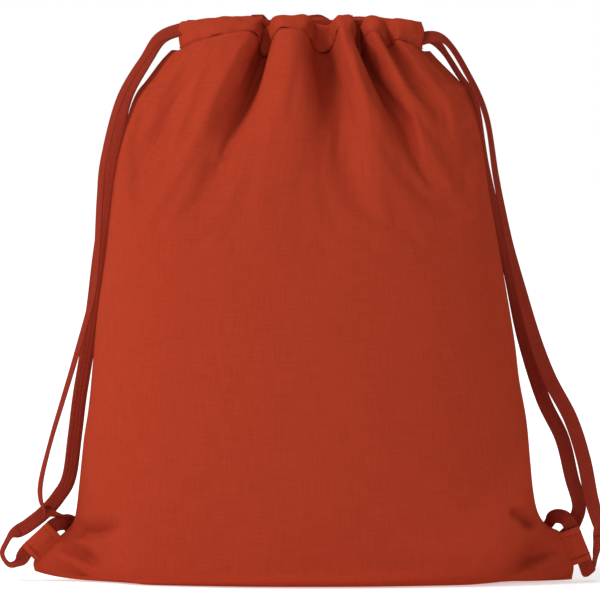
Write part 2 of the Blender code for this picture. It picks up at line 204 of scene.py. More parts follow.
def smooth_path(points, spacing):
    """Points every spacing or so along a smooth curve through the given ones."""
    route = np.array(points, float)
    route = np.vstack([2 * route[0] - route[1], route, 2 * route[-1] - route[-2]])
    fine = []
    for a, b, c, d in zip(route, route[1:], route[2:], route[3:]):
        for t in np.arange(16) / 16:
            fine.append(0.5 * (2 * b + (c - a) * t + (2 * a - 5 * b + 4 * c - d) * t ** 2
                               + (3 * b - a - 3 * c + d) * t ** 3))
    fine = np.array(fine + [route[-2]])
    return evenly(fine, max(2, round(length_of(fine) / spacing)))


def along(line, shares):
    """Points at shares of a line's length."""
    run = run_of(line)
    places = np.asarray(shares) * run[-1]
    return np.column_stack([np.interp(places, run, line[:, k]) for k in range(line.shape[1])])


def smoothstep(low, high, value):
    """A smooth step from 0 at low to 1 at high; low may be the larger of the two."""
    t = np.clip((value - low) / (high - low), 0, 1)
    return t * t * (3 - 2 * t)


def seam_line(shares):
    """A side seam in metres from its shares of half width and panel height."""
    return smooth_path([(x * BODY_HALF_WIDTH, 0, z * PANEL_TOP) for x, z in shares], 0.004)


def centre_line():
    """The panel's centre line: out along the base, round its edge and up the bulge."""
    base = [(0, -BASE_HALF_DEPTH * i / 4, 0) for i in range(5)]
    for i in range(1, 6):
        turn = math.radians(15 * i)
        base.append((0, -BASE_HALF_DEPTH - BASE_EDGE_RADIUS * math.sin(turn),
                     BASE_EDGE_RADIUS * (1 - math.cos(turn))))
    wall = [(0, -BODY_HALF_DEPTH * depth, PANEL_TOP * height) for height, depth in BULGE]
    return np.vstack([base, smooth_path(wall, 0.006)])


LEFT_SIDE = seam_line(LEFT_SEAM)
RIGHT_SIDE = seam_line(RIGHT_SEAM)
CENTRE = centre_line()
MOUTH_CENTRE = (LEFT_SIDE[-1][0] + RIGHT_SIDE[-1][0]) / 2


def filled_rows(rows, columns):
    """The front panel's smooth filled shape, [row, column, xyz], columns evenly spaced."""
    across = np.linspace(-1, 1, 161)
    turn = math.pi / 2 * np.abs(across)
    grid = np.empty((rows + 1, columns + 1, 3))
    for i in range(rows + 1):
        row = i / rows
        left, right, centre = (along(line, [row])[0] for line in (LEFT_SIDE, RIGHT_SIDE, CENTRE))
        middle = MOUTH_CENTRE * smoothstep(0.2, 1.0, row)
        pinch = 1.75 - 1.0 * smoothstep(0.02, 0.30, row)
        seam_x = np.where(across < 0, left[0], right[0])
        seam_z = np.where(across < 0, left[2], right[2])
        lift = smoothstep(0.45, 1.0, np.abs(across)) ** 1.3
        line = np.column_stack([
            middle + (seam_x - middle) * np.sin(turn),
            centre[1] * np.maximum(0, np.cos(turn)) ** pinch,
            centre[2] + (seam_z - centre[2]) * lift,
        ])
        grid[i] = evenly(line, columns)
    return grid


def mouth_line(side, columns):
    """The gathered hem of one panel, from the left seam to the right one."""
    plan = np.array(MOUTH_PLAN)
    if side < 0:
        plan[:, 0] = MOUTH_CENTRE * 2 - plan[::-1, 0]
        plan[:, 1] = -plan[::-1, 1]
    return evenly(smooth_path(plan, 0.0005), columns)


def folded_rows(side, rows, columns):
    """The filled shape with its gathers: side is 1 for the front panel, -1 for the back."""
    grid = filled_rows(rows, columns)
    grid[:, :, 1] *= side
    folds = mouth_line(side, columns) - grid[-1, :, :2]
    row = np.linspace(0, 1, rows + 1)
    share = np.linspace(0, 1, columns + 1)
    strength = smoothstep(0.58, 1.0, row) ** 2.8
    drift = FOLD_DRIFT * np.sin(math.pi * np.clip((share - 0.25) / 0.70, 0, 1))
    for i in range(rows + 1):
        moved = share - drift * float(smoothstep(0.0, 0.14, 1 - row[i]))
        for axis in (0, 1):
            grid[i, :, axis] += strength[i] * np.interp(moved, share, folds[:, axis])
    rise = hem_rise(grid[-1])
    grid[:, :, 2] += smoothstep(0.80, 1.0, row)[:, None] * rise[None]
    return grid


def ridge_share(plan):
    """0 at the bottom of a fold in the mouth, 1 on a ridge between two folds."""
    return np.clip((np.abs(plan[:, 1]) - 0.008) / 0.026, 0, 1)


def hem_rise(plan):
    """The hem climbs onto the ridges, where the casing leans back, and dips in the folds."""
    return -0.0015 + 0.0172 * ridge_share(plan)


def noise_field(points, scale, seed):
    """Smooth noise from -1 to 1 at each point, with bumps of about the given size."""
    shift = Vector((seed * 17.3, seed * 5.1, seed * 9.7))
    flat = points.reshape(-1, 3)
    values = [noise.noise(Vector(p) / scale + shift) for p in flat]
    return np.array(values).reshape(points.shape[:-1])


def distance_to(line, x, z):
    """Distance from each (x, z) to a line, and how far along it the nearest point is."""
    best = np.full(x.shape, 9.0)
    share = np.zeros(x.shape)
    count = len(line) - 1
    for i in range(count):
        a, b = line[i], line[i + 1]
        way = b - a
        t = np.clip(((x - a[0]) * way[0] + (z - a[1]) * way[1]) / way.dot(way), 0, 1)
        gap = np.hypot(x - a[0] - t * way[0], z - a[1] - t * way[1])
        nearer = gap < best
        best = np.where(nearer, gap, best)
        share = np.where(nearer, (i + t) / count, share)
    return best, share


def press_creases(grid, side):
    """Presses the corner creases into a panel, fading at both ends and at the seams."""
    x, y, z = (grid[:, :, k].copy() for k in range(3))
    room = np.maximum(0.0, np.abs(y) - 0.0015) * 0.85
    inwards = np.zeros(x.shape)
    for route, depth, width, crisp in CREASES:
        line = smooth_path(route, 0.004)
        gap, share = distance_to(line, x, z)
        order = np.argsort(line[:, 0])
        below = z < np.interp(x, line[order, 0], line[order, 1])
        fade = smoothstep(0.0, 0.12, share) * smoothstep(1.0, 0.45, share)
        spread = np.where(below, width * crisp, width)
        inwards += depth * np.exp(-(gap / spread) ** 2) * fade
    grid[:, :, 1] += side * np.minimum(inwards, room) * smoothstep(0.0, 0.004, np.abs(y))


def gather(grid, side, flat_width, flat_length):
    """Small uneven gathers under the hem, where the cloth is drawn together."""
    rows, columns = grid.shape[:2]
    row = np.linspace(0, 1, rows)[:, None] + np.zeros((1, columns))
    upright = 0.22
    flat = np.dstack([np.linspace(0, flat_width, columns)[None] + np.zeros((rows, 1)),
                      np.zeros((rows, columns)), row * flat_length * upright])
    ripples = noise_field(flat, 0.0085, 31 + side) + 0.5 * noise_field(flat, 0.0040, 37 + side)
    near_hem = smoothstep(0.70, 0.97, row) * smoothstep(0.0, 0.01, np.abs(grid[:, :, 1]))
    grid[:, :, 1] -= side * ripples * near_hem * 0.0011


def refined(grid):
    """The same surface with a point added between each two, on a smooth curve."""
    for axis in (0, 1):
        lines = np.moveaxis(grid, axis, 0)
        ends = np.concatenate([[2 * lines[0] - lines[1]], lines, [2 * lines[-1] - lines[-2]]])
        middles = (9 * (ends[1:-2] + ends[2:-1]) - ends[:-3] - ends[3:]) / 16
        both = np.empty((2 * len(lines) - 1,) + lines.shape[1:])
        both[0::2] = lines
        both[1::2] = middles
        grid = np.moveaxis(both, 0, axis)
    return grid


# ---------------------------------------------------------------- meshes


def add_object(name, mesh):
    obj = bpy.data.objects.new(name, mesh)
    bpy.context.scene.collection.objects.link(obj)
    return obj


def grid_faces(rows, columns, across_first=True):
    """Faces of a (rows + 1) x (columns + 1) grid of points."""
    faces = []
    for i in range(rows):
        for k in range(columns):
            a = i * (columns + 1) + k
            ring = (a, a + 1, a + columns + 2, a + columns + 1)
            faces.append(ring if across_first else ring[::-1])
    return faces


def grid_object(name, grid, uv, material, outward):
    """A sheet from a grid of points, with its flat cut as its UV map, in metres."""
    rows, columns = grid.shape[0] - 1, grid.shape[1] - 1
    mesh = bpy.data.meshes.new(name)
    mesh.from_pydata(grid.reshape(-1, 3).tolist(), [], grid_faces(rows, columns, outward))
    layer = mesh.uv_layers.new(name="flat_cut")
    flat = uv.reshape(-1, 2)
    corners = np.empty(len(mesh.loops), dtype=np.int64)
    mesh.loops.foreach_get("vertex_index", corners)
    layer.data.foreach_set("uv", flat[corners].astype(np.float32).ravel())
    mesh.materials.append(material)
    mesh.shade_smooth()
    return add_object(name, mesh)


def finish_mesh(obj):
    """Turns the object's modifiers into plain mesh."""
    depsgraph = bpy.context.evaluated_depsgraph_get()
    mesh = bpy.data.meshes.new_from_object(obj.evaluated_get(depsgraph), depsgraph=depsgraph)
    old = obj.data
    obj.modifiers.clear()
    obj.data = mesh
    if obj.type == "MESH" and old.users == 0:
        bpy.data.meshes.remove(old)
    return obj


def thicken(obj, thickness, smoothed=True):
    """One smoothing step where it is needed, then the cloth's thickness inwards."""
    if smoothed:
        smooth = obj.modifiers.new("smooth", "SUBSURF")
        smooth.levels = smooth.render_levels = 1
        smooth.boundary_smooth = "PRESERVE_CORNERS"
    wall = obj.modifiers.new("cloth", "SOLIDIFY")
    wall.thickness = thickness
    wall.offset = -1
    return finish_mesh(obj)


def face_outwards(mesh, merge=True, centre=None):
    """Closes a ring of faces and turns them outwards; an open sleeve needs its centre."""
    work = bmesh.new()
    work.from_mesh(mesh)
    if merge:
        bmesh.ops.remove_doubles(work, verts=work.verts, dist=1e-6)
    bmesh.ops.recalc_face_normals(work, faces=work.faces)
    if centre is not None:
        work.normal_update()
        outwards = sum((f.calc_center_median() - centre).dot(f.normal) for f in work.faces)
        if outwards < 0:
            bmesh.ops.reverse_faces(work, faces=work.faces)
    work.to_mesh(mesh)
    work.free()


# ---------------------------------------------------------------- materials


def group_sockets(tree, inputs, outputs):
    """Names a node group's inputs, with their defaults, and its outputs."""
    for name, kind, default in inputs:
        socket = tree.interface.new_socket(name=name, in_out="INPUT", socket_type=kind)
        if default is not None:
            socket.default_value = default
    for name, kind in outputs:
        tree.interface.new_socket(name=name, in_out="OUTPUT", socket_type=kind)


def node(tree, kind, **values):
    made = tree.nodes.new(kind)
    for key, value in values.items():
        setattr(made, key, value)
    return made


def math_node(tree, operation, a, b=None):
    made = node(tree, "ShaderNodeMath", operation=operation)
    for i, value in enumerate((a, b)):
        if value is None:
            continue
        if isinstance(value, bpy.types.NodeSocket):
            tree.links.new(value, made.inputs[i])
        else:
            made.inputs[i].default_value = value
    return made.outputs[0]


def plain_weave_group():
    """Plain weave of warp and weft threads: colour, height and roughness. The colour holds real
    slubs and painted shade in the weave's hollows.
    """
    tree = bpy.data.node_groups.new("plain_weave", "ShaderNodeTree")
    group_sockets(
        tree,
        [("Vector", "NodeSocketVector", None), ("Pitch", "NodeSocketFloat", 0.00055),
         ("Colour", "NodeSocketColor", (0.4, 0.05, 0.02, 1)),
         ("Variation", "NodeSocketFloat", 0.10)],
        [("Colour", "NodeSocketColor"), ("Height", "NodeSocketFloat"),
         ("Roughness", "NodeSocketFloat")],
    )
    start = node(tree, "NodeGroupInput")
    end = node(tree, "NodeGroupOutput")
    split = node(tree, "ShaderNodeSeparateXYZ")
    tree.links.new(start.outputs["Vector"], split.inputs[0])
    x = math_node(tree, "DIVIDE", split.outputs[0], start.outputs["Pitch"])
    y = math_node(tree, "DIVIDE", split.outputs[1], start.outputs["Pitch"])
    warp, weft = (
        math_node(tree, "ABSOLUTE",
                  math_node(tree, "SINE", math_node(tree, "MULTIPLY", way, math.pi)))
        for way in (x, y)
    )
    cell = math_node(tree, "ADD", math_node(tree, "FLOOR", x), math_node(tree, "FLOOR", y))
    over = math_node(tree, "PINGPONG", cell, 1.0)
    height = node(tree, "ShaderNodeMix", data_type="FLOAT")
    tree.links.new(over, height.inputs[0])
    tree.links.new(warp, height.inputs[2])
    tree.links.new(weft, height.inputs[3])
    tree.links.new(height.outputs[0], end.inputs["Height"])

    slubs = []
    for stretch in ((900, 60, 1), (60, 900, 1)):
        mapping = node(tree, "ShaderNodeMapping")
        mapping.inputs["Scale"].default_value = stretch
        tree.links.new(start.outputs["Vector"], mapping.inputs["Vector"])
        grain = node(tree, "ShaderNodeTexNoise")
        grain.inputs["Scale"].default_value = 1.0
        grain.inputs["Detail"].default_value = 3.0
        tree.links.new(mapping.outputs[0], grain.inputs["Vector"])
        slubs.append(grain.outputs["Fac"])
    both = math_node(tree, "ADD", slubs[0], slubs[1])
    swing = math_node(tree, "SUBTRACT", both, 1.0)
    # Painted shade: the colour darkens in the weave's hollows and lightens on the thread crowns,
    # following the height
    raised = math_node(tree, "SUBTRACT", height.outputs[0], 0.6)
    thread = math_node(tree, "MULTIPLY", raised, 0.35)
    slub_tone_and_weave_shade = math_node(tree, "MULTIPLY", math_node(tree, "ADD", swing, thread),
                       start.outputs["Variation"])
    value = math_node(tree, "ADD", math_node(tree, "MULTIPLY", slub_tone_and_weave_shade, 2.2), 1.0)
    tint = node(tree, "ShaderNodeVectorMath", operation="SCALE")
    tree.links.new(start.outputs["Colour"], tint.inputs[0])
    tree.links.new(value, tint.inputs["Scale"])
    tree.links.new(tint.outputs[0], end.inputs["Colour"])
    rough = math_node(tree, "ADD", math_node(tree, "MULTIPLY", swing, 0.25), 0.58)
    tree.links.new(rough, end.inputs["Roughness"])
    return tree


def cloth_material(name, colour, pitch, weave, variation=0.14, relief=0.00009, sheen=0.03):
    """Matt woven polyester with a soft sheen."""
    material = bpy.data.materials.new(name)
    material.use_nodes = True
    tree = material.node_tree
    shader = tree.nodes["Principled BSDF"]
    uv = node(tree, "ShaderNodeUVMap", uv_map="flat_cut")
    threads = node(tree, "ShaderNodeGroup", node_tree=weave)
    threads.inputs["Pitch"].default_value = pitch
    threads.inputs["Colour"].default_value = (*colour, 1)
    threads.inputs["Variation"].default_value = variation
    tree.links.new(uv.outputs[0], threads.inputs["Vector"])
    # The base colour holds the weave's real slubs and its painted shade in the hollows between
    # threads
    tree.links.new(threads.outputs["Colour"], shader.inputs["Base Color"])
    tree.links.new(threads.outputs["Roughness"], shader.inputs["Roughness"])
    bump = node(tree, "ShaderNodeBump")
    bump.inputs["Strength"].default_value = 0.6
    bump.inputs["Distance"].default_value = relief
    tree.links.new(threads.outputs["Height"], bump.inputs["Height"])
    tree.links.new(bump.outputs[0], shader.inputs["Normal"])
    shader.inputs["Sheen Weight"].default_value = sheen
    shader.inputs["Sheen Roughness"].default_value = 0.45
    shader.inputs["Sheen Tint"].default_value = (1.0, 0.25, 0.12, 1)
    shader.inputs["Specular IOR Level"].default_value = 0.0
    return material


# ---------------------------------------------------------------- the bag's cloth


def sim_mesh(front, back, flat_width, flat_length):
    """Both panels as one closed-bottomed sleeve, with the flat cut as a shape key."""
    rows, columns = front.shape[0] - 1, front.shape[1] - 1
    points = front.reshape(-1, 3).tolist()
    flat = [((k / columns - 0.5) * flat_width, 0, i / rows * flat_length)
            for i in range(rows + 1) for k in range(columns + 1)]
    shared = np.arange((rows + 1) * (columns + 1)).reshape(rows + 1, columns + 1)
    index = shared.copy()
    for i in range(1, rows + 1):
        for k in range(1, columns):
            index[i, k] = len(points)
            points.append(tuple(back[i, k]))
            flat.append(flat[shared[i, k]])
    faces = grid_faces(rows, columns)
    for i in range(rows):
        for k in range(columns):
            faces.append((int(index[i, k]), int(index[i + 1, k]),
                          int(index[i + 1, k + 1]), int(index[i, k + 1])))
    mesh = bpy.data.meshes.new("settling")
    mesh.from_pydata(points, [], faces)
    obj = add_object("settling", mesh)
    obj.shape_key_add(name="Basis")
    key = obj.shape_key_add(name="flat cut")
    key.data.foreach_set("co", np.array(flat, dtype=np.float32).ravel())
    key.value = 0.0
    return obj, index


def hold_weights(front, back):
    """How firmly each point keeps its place: 1 at the base, corners and hem."""
    weights = []
    for grid in (front, back):
        rows, columns = grid.shape[0] - 1, grid.shape[1] - 1
        row = np.linspace(0, 1, rows + 1)[:, None]
        share = np.abs(np.linspace(-1, 1, columns + 1))[None]
        base = smoothstep(0.060, 0.010, grid[:, :, 2])
        corner = smoothstep(0.66, 0.92, share) * smoothstep(0.30, 0.16, row)
        hem = smoothstep(0.965, 1.0, row) + 0 * share
        edge = 0.6 * smoothstep(0.88, 1.0, share) + 0 * row
        body = 0.06 + 0.36 * smoothstep(0.84, 0.50, row) + 0 * share
        hold = np.maximum.reduce([base, corner, hem, edge, body])
        weights.append(np.clip(hold, 0, 1))
    return weights


def settle(front, back, flat_width, flat_length):
    """Lets the cut cloth settle over the filling, held at its base, corners and hem."""
    obj, index = sim_mesh(front, back, flat_width, flat_length)
    group = obj.vertex_groups.new(name="hold")
    front_hold, back_hold = hold_weights(front, back)
    for place, weight in enumerate(front_hold.ravel()):
        group.add([place], float(weight), "REPLACE")
    for place, weight in zip(index.ravel(), back_hold.ravel()):
        group.add([int(place)], float(weight), "REPLACE")
    cloth = obj.modifiers.new("settle", "CLOTH")
    settings = cloth.settings
    settings.quality = 6
    settings.mass = 0.12
    settings.tension_stiffness = 30
    settings.compression_stiffness = 30
    settings.shear_stiffness = 6
    settings.bending_stiffness = 4.0
    settings.air_damping = 2.0
    settings.vertex_group_mass = "hold"
    settings.use_pressure = True
    settings.uniform_pressure_force = 3.4
    settings.effector_weights.gravity = 0.4
    settings.rest_shape_key = obj.data.shape_keys.key_blocks["flat cut"]
    cloth.collision_settings.use_collision = False
    cloth.collision_settings.use_self_collision = False
    scene = bpy.context.scene
    for step in range(1, 23):
        scene.frame_set(step)
    depsgraph = bpy.context.evaluated_depsgraph_get()
    mesh = bpy.data.meshes.new_from_object(obj.evaluated_get(depsgraph), depsgraph=depsgraph)
    points = np.empty(len(mesh.vertices) * 3)
    mesh.vertices.foreach_get("co", points)
    points = points.reshape(-1, 3)
    scene.frame_set(1)
    bpy.data.objects.remove(obj, do_unlink=True)
    bpy.data.meshes.remove(mesh)
    count = front.shape[0] * front.shape[1]
    return points[:count].reshape(front.shape), points[index.ravel()].reshape(front.shape)


def pucker(grid, side):
    """Small puckers that the stitching draws along the side seams and under the hem."""
    amount = 0.0007
    rows, columns = grid.shape[0] - 1, grid.shape[1] - 1
    row = np.linspace(0, 1, rows + 1)[:, None]
    share = np.abs(np.linspace(-1, 1, columns + 1))[None]
    near_side = smoothstep(0.80, 0.97, share) * smoothstep(0.02, 0.1, row)
    near_hem = smoothstep(0.90, 0.985, row) + 0 * share
    ripple = noise_field(grid, 0.009, 3 + side)
    grid[:, :, 1] -= side * ripple * amount * np.maximum(near_side * 1.6, near_hem)
    crumple = noise_field(grid, 0.035, 7 + side)
    grid[:, :, 1] -= side * crumple * 0.0009 * smoothstep(0.04, 0.2, row)
    grid[:, [0, -1], 1] = 0


def build_panels(settings, weave):
    front = folded_rows(1, ROWS, COLUMNS)
    back = folded_rows(-1, ROWS, COLUMNS)
    front, back = settle(front, back, settings.cut_width, settings.cut_length)
    front, back = refined(front), refined(back)
    for grid, side in ((front, 1), (back, -1)):
        press_creases(grid, side)
        gather(grid, side, settings.cut_width, settings.cut_length)
        pucker(grid, side)
        grid[:, :, 2] = np.maximum(grid[:, :, 2], FLOOR_GAP)
    GRIDS["front"], GRIDS["back"] = front, back
    rows, columns = front.shape[:2]
    row = np.linspace(0, 1, rows)[:, None] + np.zeros((1, columns))
    share = np.linspace(0, 1, columns)[None] + np.zeros((rows, 1))
    uv = np.dstack([share * settings.cut_width, row * settings.cut_length])
    material = cloth_material("woven_cloth", settings.colour, settings.weave_pitch, weave)
    made = []
    for name, grid, outward in (("front_panel_cloth", front, True),
                                ("back_panel_cloth", back, False)):
        obj = grid_object(name, grid, uv, material, outward)
        made.append(thicken(obj, settings.thickness, smoothed=False))
    return made, material


def casing_rows(grid, side):
    """The hem folded over the cords: up the outer ply, over, and down the inner ply.
    It stands upright in the folds and leans back on the ridges."""
    hem = grid[-1, CASING_TRIM:-CASING_TRIM]
    ridge = ridge_share(hem)
    lean = 0.62 * ridge
    top = hem.copy()
    top[:, 1] = hem[:, 1] * (1 - lean) + side * 0.0010
    top[:, 2] = PANEL_TOP + 0.0195 + 0.0045 * ridge
    cord_y = -side * casing_cord_depth(hem[:, 0])
    ahead = np.gradient(hem, axis=0)
    rise = top - hem
    out = np.cross(ahead, rise) * side
    out /= np.linalg.norm(out, axis=1)[:, None]
    shares = [0.0, 0.03, 0.08, 0.16, 0.26, 0.37, 0.48, 0.59, 0.70, 0.80, 0.88, 0.94, 0.985]
    rows = []
    for ply in (1, -1):
        for share in shares[::ply]:
            fullness = math.sin(math.pi * share)
            place = hem + rise * share + out * ply * (0.0002 + 0.0017 * fullness)
            beside_cord = cord_y - side * ply * CORD_ROOM
            if side * ply > 0:
                clear = np.minimum(place[:, 1], beside_cord)
            else:
                clear = np.maximum(place[:, 1], beside_cord)
            place[:, 1] += (clear - place[:, 1]) * min(1.0, 1.6 * fullness)
            rows.append(place)
        if ply > 0:
            rows.append(top + np.array([0, 0, 0.0003]))
    casing = np.array(rows)
    casing += out[None] * (noise_field(casing, 0.0065, 11 + side) * 0.0010)[:, :, None]
    casing[:, :, 2] += noise_field(casing, 0.010, 15 + side) * 0.0012
    return casing


def casing_cord_depth(x):
    """How far the cords inside the casings run from the middle of the mouth."""
    half = (RIGHT_SIDE[-1][0] - LEFT_SIDE[-1][0]) / 2
    share = np.clip((x - MOUTH_CENTRE) / half, -1, 1)
    return 0.0080 * np.sqrt(1 - 0.92 * share ** 2) + 0.0040


def build_casings(settings, material):
    made = []
    for side, name in ((1, "front_casing_cloth"), (-1, "back_casing_cloth")):
        grid = GRIDS["front" if side > 0 else "back"]
        casing = casing_rows(grid, side)
        rows, columns = casing.shape[0], casing.shape[1]
        run = run_of(casing[:, columns // 2])
        uv = np.dstack([
            np.linspace(0, settings.cut_width, columns)[None] + np.zeros((rows, 1)),
            settings.cut_length + run[:, None] + np.zeros((1, columns)),
        ])
        obj = grid_object(name, casing, uv, material, side > 0)
        made.append(thicken(obj, settings.thickness))
    return made


def build_seams(settings, weave):
    """The seam allowances inside: two plies standing in from each seam."""
    # Painted shade: the seam allowances inside the bag use the cloth's colour darkened to 0.8
    colour = [0.8 * c for c in settings.colour]
    material = cloth_material("seam_allowance_shaded_cloth", colour, settings.weave_pitch, weave)
    front = GRIDS["front"]
    last = len(front) - 1
    low, high = round(0.10 * last), round(0.98 * last)
    made = []
    for name, column, inward in (("left_seam_allowance", 0, 1.0),
                                 ("right_seam_allowance", -1, -1.0)):
        line = front[low:high, column]
        way = np.array([inward, 0, -0.15]) / math.hypot(1, 0.15)
        made.append(allowance(name, line, way, settings, material))
    line = front[0, BOTTOM_TRIM:-BOTTOM_TRIM]
    made.append(allowance("bottom_seam_allowance", line, np.array([0, 0, 1.0]), settings,
                          material))
    return made


def allowance(name, line, way, settings, material):
    """One seam allowance: both plies, standing in from the seam with a slight ripple."""
    steps = np.array([0.0012, 0.003, 0.005, settings.seam_allowance])
    ripple = np.sin(np.linspace(0, 40 * math.pi, len(line))) * 0.0003
    grid = np.array([line + way * step + np.column_stack(
        [np.zeros(len(line)), ripple * step / 0.004, np.zeros(len(line))]) for step in steps])
    uv = np.dstack([
        np.linspace(0, length_of(line), len(line))[None] + np.zeros((4, 1)),
        steps[:, None] + np.zeros((1, len(line))),
    ])
    obj = grid_object(name, grid, uv, material, True)
    wall = obj.modifiers.new("plies", "SOLIDIFY")
    wall.thickness = 0.0010
    wall.offset = 0
    return finish_mesh(obj)


# ---------------------------------------------------------------- tabs


def tab_axis(side_line, rows, outward):
    """Middle of the tab's sleeve, the way up along the seam and the way out from it."""
    low, high = along(side_line, rows)
    run = (high - low) / np.linalg.norm(high - low)
    reach = np.array([run[2], 0, -run[0]]) * (1 if outward > 0 else -1)
    return (low + high) / 2 + reach * (TAB_REACH / 2 + TAB_SEAM_GAP), run, reach


def tab_point(axis, share, turn, lift=0.0):
    """A point of the tab's sleeve: share runs along it, turn runs round it."""
    middle, run, reach = axis
    out = np.cross(run, reach)
    out = out if out[1] < 0 else -out
    across = math.cos(turn)
    swell = math.copysign(abs(math.sin(turn)) ** 0.8, math.sin(turn))
    hemmed = 1.0 if abs(share) > TAB_HEM - 0.003 else 0.0
    sewn = math.exp(-((abs(share) - TAB_HEM) / 0.018) ** 2)
    fullness = 0.0021 + 0.0006 * math.cos(math.pi * share) + 0.0007 * (hemmed - sewn)
    taper = 0.42 + 0.58 * float(smoothstep(-1.0, -0.2, across))
    depth = across * TAB_REACH / 2 - 0.0014 + 0.0016 * min(0.0, across)
    place = middle + run * TAB_LENGTH * share + reach * depth
    place = place + out * swell * (fullness * taper + lift)
    return place + out * noise.noise(Vector(place) / 0.006) * 0.0003


def build_tab(name, axis, material):
    """A folded strip of cloth sewn into the side seam, hemmed at both open ends."""
    half_stations = [0.5, 0.485, 0.45, 0.40, 0.365, 0.35, TAB_HEM, 0.316, 0.30, 0.26, 0.18,
                     0.09]
    stations = [-s for s in half_stations] + [0] + half_stations[::-1]
    turns = 40
    grid = np.array([[tab_point(axis, share, 2 * math.pi * k / turns)
                      for k in range(turns + 1)] for share in stations])
    uv = np.dstack([
        np.linspace(0, 2 * TAB_REACH, turns + 1)[None] + np.zeros((len(stations), 1)),
        np.array(stations)[:, None] * TAB_LENGTH + np.zeros((1, turns + 1)),
    ])
    obj = grid_object(name, grid, uv, material, True)
    face_outwards(obj.data, centre=Vector(axis[0]))
    return thicken(obj, TAB_CLOTH)


# ---------------------------------------------------------------- cords

# The cords' routes: exits from the casings, joins to the fixed stretches as a place and a
# direction, knots, and the points between
LEFT_EXITS = ((-0.07548, -0.01073, 0.3455), (-0.07548, 0.01073, 0.3455))
RIGHT_EXITS = ((0.06243, -0.01073, 0.3365), (0.06243, 0.01073, 0.3365))
LEFT_FRONT_JOIN = ((-0.1465, 0.0190, 0.0345), (0.25, 0.55, -0.80))
LEFT_BACK_JOIN = ((-0.1805, 0.0035, 0.0318), (-0.85, -0.10, -0.50))
RIGHT_FRONT_JOIN = ((0.1812, 0.0060, 0.0290), (-0.05, 0.45, -0.90))
RIGHT_BACK_JOIN = ((0.1600, 0.0165, 0.0270), (-0.55, 0.55, -0.62))
LEFT_KNOT = (-0.1330, 0.0400, 0.0085)
RIGHT_KNOT = (0.1330, 0.0400, 0.0085)

LEFT_FRONT = [
    (-0.0920, -0.0065, 0.3400), (-0.1010, -0.0070, 0.3290),
    (-0.1173, -0.0080, 0.3017), (-0.1273, -0.0080, 0.2643), (-0.1300, -0.0080, 0.2393),
    (-0.1320, -0.0080, 0.2019), (-0.1350, -0.0080, 0.1769), (-0.1454, -0.0080, 0.1395),
    (-0.1529, -0.0080, 0.1145), (-0.1604, -0.0080, 0.0895), (-0.1666, -0.0080, 0.0646),
    (-0.1672, -0.0070, 0.0521), (-0.1638, -0.0040, 0.0440), (-0.1575, 0.0030, 0.0412),
    (-0.1510, 0.0110, 0.0400),
]
LEFT_FRONT_END = [(-0.1435, 0.0260, 0.0240), (-0.1405, 0.0320, 0.0165)]
LEFT_BACK = [
    (-0.0910, 0.0090, 0.3390), (-0.1005, 0.0120, 0.3240),
    (-0.1135, 0.0160, 0.3010), (-0.1225, 0.0190, 0.2643), (-0.1265, 0.0200, 0.2393),
    (-0.1315, 0.0200, 0.2019), (-0.1350, 0.0180, 0.1707), (-0.1395, 0.0150, 0.1395),
    (-0.1435, 0.0125, 0.1145), (-0.1465, 0.0100, 0.0895), (-0.1500, 0.0080, 0.0646),
    (-0.1570, 0.0065, 0.0521), (-0.1650, 0.0060, 0.0430),
]
LEFT_LOOP = [
    (-0.1890, 0.0008, 0.0240), (-0.1915, 0.0005, 0.0170), (-0.1870, 0.0000, 0.0105),
    (-0.1805, 0.0000, 0.0125),
]
LEFT_TAB_EXIT = [
    (-0.1500, 0.0080, 0.0350), (-0.1470, 0.0170, 0.0250), (-0.1430, 0.0260, 0.0150),
    (-0.1400, 0.0310, 0.0090),
]
RIGHT_FRONT = [
    (0.0830, -0.0060, 0.3385), (0.0995, -0.0050, 0.3150),
    (0.1105, -0.0045, 0.2892), (0.1165, -0.0040, 0.2518), (0.1240, -0.0040, 0.2143),
    (0.1317, -0.0040, 0.1831), (0.1404, -0.0040, 0.1519), (0.1498, -0.0040, 0.1270),
    (0.1629, -0.0040, 0.1020), (0.1710, -0.0040, 0.0771), (0.1760, -0.0030, 0.0521),
    (0.1800, 0.0000, 0.0390),
]
RIGHT_LOOP = [(0.1795, 0.0100, 0.0170), (0.1775, 0.0070, 0.0075), (0.1750, 0.0030, 0.0050)]
RIGHT_TAB_EXIT = [
    (0.1590, 0.0010, 0.0400), (0.1530, 0.0070, 0.0400), (0.1490, 0.0150, 0.0340),
    (0.1440, 0.0240, 0.0240), (0.1400, 0.0320, 0.0150),
]
RIGHT_BACK = [
    (0.0780, 0.0090, 0.3375), (0.0945, 0.0130, 0.3150),
    (0.1045, 0.0160, 0.2980), (0.1110, 0.0230, 0.2580), (0.1190, 0.0240, 0.2206),
    (0.1270, 0.0200, 0.1860), (0.1345, 0.0140, 0.1519), (0.1460, 0.0080, 0.1145),
    (0.1579, 0.0050, 0.0895), (0.1641, 0.0050, 0.0646), (0.1688, 0.0070, 0.0471),
    (0.1655, 0.0110, 0.0350),
]
RIGHT_BACK_END = [(0.1510, 0.0250, 0.0150), (0.1420, 0.0330, 0.0080)]
FRONT_TAIL = [
    (0.1235, 0.0400, 0.0060), (0.1150, 0.0460, 0.0035), (0.0980, 0.0620, 0.0027),
    (0.0760, 0.0750, 0.0027), (0.0520, 0.0820, 0.0027), (0.0200, 0.0850, 0.0027),
]
BACK_TAIL = [
    (0.1270, 0.0485, 0.0060), (0.1200, 0.0570, 0.0030), (0.1060, 0.0730, 0.0027),
    (0.0860, 0.0890, 0.0027), (0.0620, 0.0980, 0.0027), (0.0330, 0.1000, 0.0027),
]


